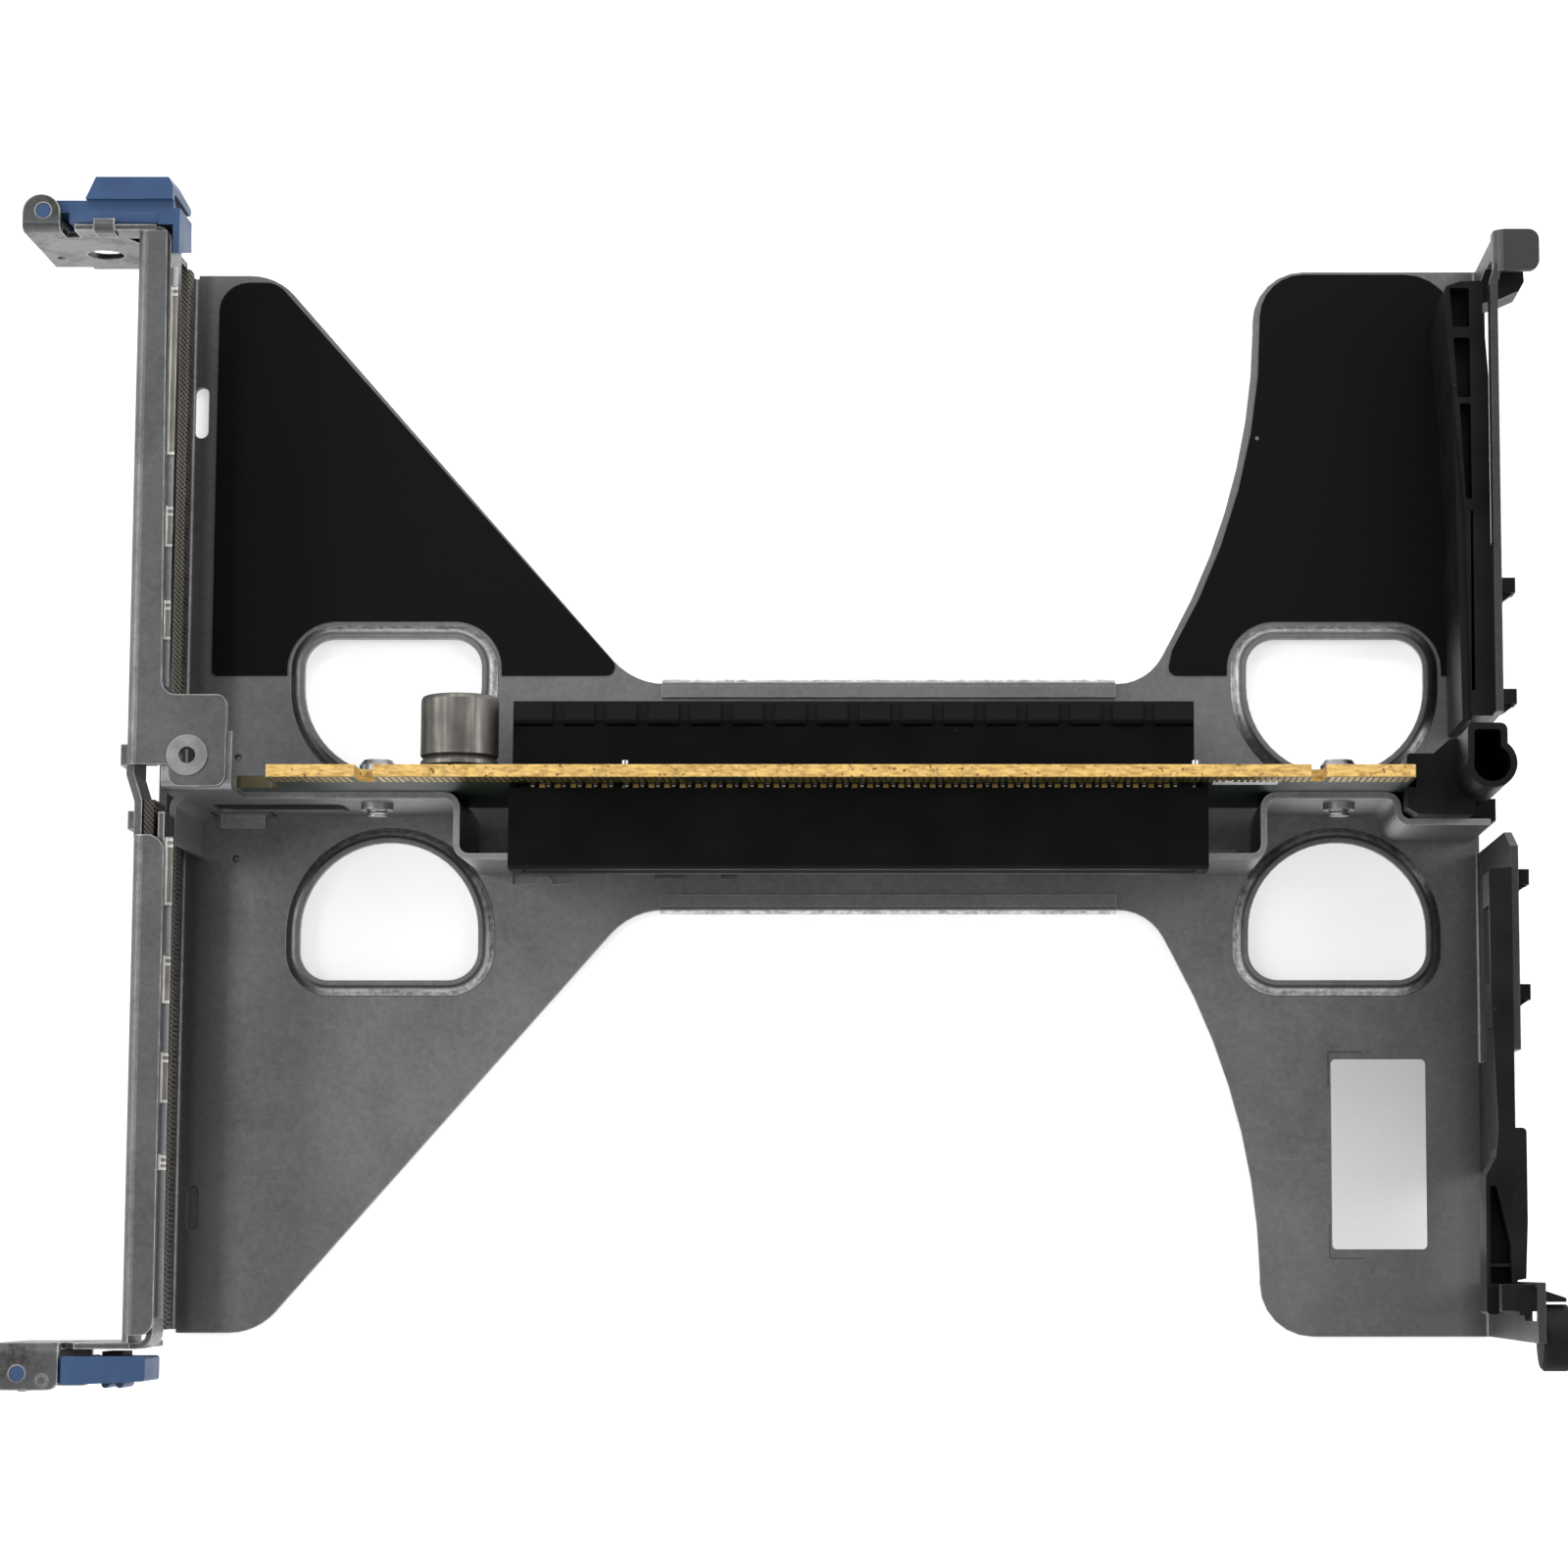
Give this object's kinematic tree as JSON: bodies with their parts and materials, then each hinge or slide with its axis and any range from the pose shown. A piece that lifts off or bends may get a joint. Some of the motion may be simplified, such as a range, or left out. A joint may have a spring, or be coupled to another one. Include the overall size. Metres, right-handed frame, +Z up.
{
  "type": "riser cage bracket",
  "caption": "Pressed steel server riser cage with an upright riser board, back-to-back card slots, a card bracket channel with hinged blue latches, and black card guides.",
  "frame": {"origin": "middle of the cage plate's underside, the face the part lies on", "axes": "+X along the riser board to the card guides, +Y across the bays to the upper bay, +Z up from the plate"},
  "size_m": [0.198, 0.1566, 0.049],
  "materials": {
    "galvanised": "satin mottled galvanised sheet",
    "bright_steel": "bright plated",
    "blue_plastic": "satin moulded",
    "black_plastic": "satin moulded",
    "gasket_cloth": "woven conductive cloth",
    "circuit_board": "satin",
    "gold_contacts": "plated",
    "aluminium_can": "satin",
    "black_film": "satin film",
    "white_label": "satin paper"
  },
  "bodies": {
    "cage": {"cage_plate": "galvanised", "rear_frame": "galvanised", "carrier_wall": "galvanised", "guide_bushing": "bright_steel", "upper_latch_bracket": "galvanised", "lower_latch_bracket": "galvanised", "upper_ground_fingers": "bright_steel", "lower_ground_fingers": "bright_steel", "upper_gasket": "gasket_cloth", "lower_gasket": "gasket_cloth", "upper_channel_gasket": "gasket_cloth", "lower_channel_gasket": "gasket_cloth", "riser_board": "circuit_board", "board_screws": "bright_steel", "board_pegs": "bright_steel", "upper_slot_housing": "black_plastic", "lower_slot_housing": "black_plastic", "upper_slot_contacts": "gold_contacts", "lower_slot_contacts": "gold_contacts", "capacitor_can": "aluminium_can", "capacitor_base": "black_plastic", "board_end_holder": "black_plastic", "upper_card_guide": "black_plastic", "lower_card_guide": "black_plastic", "lug_bumper": "black_plastic", "left_film": "black_film", "right_film": "black_film", "blank_label": "white_label"},
    "upper_latch_arm": {"upper_latch": "blue_plastic"},
    "lower_latch_arm": {"lower_latch": "blue_plastic", "latch_pad": "black_plastic"}
  },
  "joints": [
    {"name": "upper_latch_hinge", "type": "hinge", "parent": "cage", "child": "upper_latch_arm", "pos_m": [-0.1007, 0.07265, 0.0231], "axis": [0, 0, 1], "range_deg": [0, 95]},
    {"name": "lower_latch_hinge", "type": "hinge", "parent": "cage", "child": "lower_latch_arm", "pos_m": [-0.10012, -0.07652, 0.0231], "axis": [0, 0, -1], "range_deg": [0, 95]}
  ]
}
